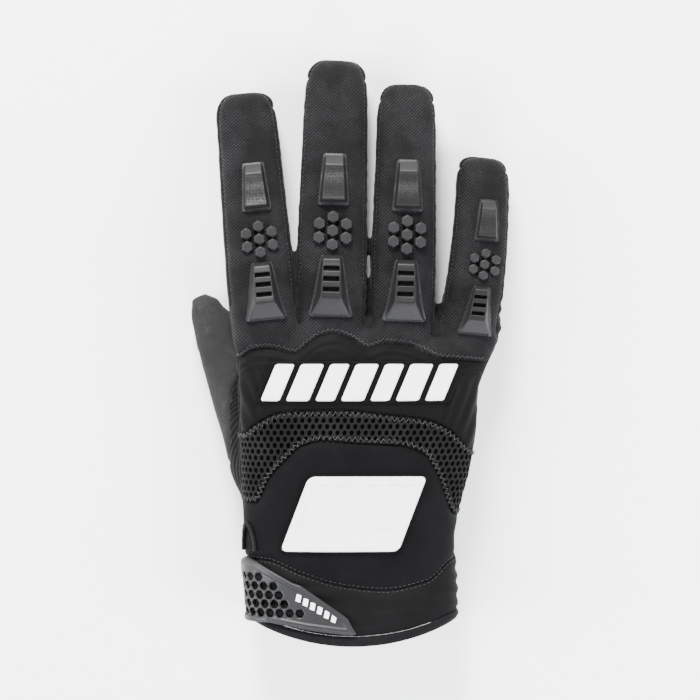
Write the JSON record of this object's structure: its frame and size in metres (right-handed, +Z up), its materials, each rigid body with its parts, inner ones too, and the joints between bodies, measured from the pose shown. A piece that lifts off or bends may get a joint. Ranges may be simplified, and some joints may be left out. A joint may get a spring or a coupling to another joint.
{
  "type": "riding glove",
  "caption": "Right-hand off-road riding glove with a knit back, moulded finger guards, a mesh vent, two plain white badges, a suede palm and a strap at the wrist.",
  "frame": {"origin": "on the ground under the heel of the palm, midway between the sides of the hand", "axes": "+Y towards the fingertips, +X towards the little finger, +Z up from the palm to the back of the hand"},
  "size_m": [0.1323, 0.2401, 0.0413],
  "materials": {
    "suede": "matt synthetic suede",
    "knit": "matt diagonal knit",
    "neoprene": "matt laminated jersey over foam",
    "air_mesh": "open spacer mesh",
    "twill": "fine diagonal twill",
    "gusset": "stretch cloth",
    "rib_knit": "ribbed stretch cloth",
    "binding": "woven tape",
    "loop_cloth": "ribbed loop cloth",
    "moulded_rubber": "satin moulded rubber",
    "white_rubber": "matt moulded rubber"
  },
  "bodies": {
    "root": {"palm_panel": "suede", "knit_back": "knit", "knuckle_band": "neoprene", "air_mesh_panel": "air_mesh", "back_pad": "twill", "cuff": "neoprene", "cuff_binding": "binding", "thumb_panel": "suede", "thumb_back": "air_mesh", "rib_panel": "rib_knit", "index_middle_gusset": "gusset", "middle_ring_gusset": "gusset", "ring_little_gusset": "gusset", "little_edge_gusset": "gusset", "band_badge": "white_rubber", "back_badge": "white_rubber", "wrist_strap": "moulded_rubber", "loop_patch": "loop_cloth", "pull_loop": "binding", "index_tip_guard": "moulded_rubber", "index_studs": "moulded_rubber", "index_base_guard": "moulded_rubber", "middle_tip_guard": "moulded_rubber", "middle_studs": "moulded_rubber", "middle_base_guard": "moulded_rubber", "ring_tip_guard": "moulded_rubber", "ring_studs": "moulded_rubber", "ring_base_guard": "moulded_rubber", "little_tip_guard": "moulded_rubber", "little_studs": "moulded_rubber", "little_base_guard": "moulded_rubber"}
  },
  "joints": []
}
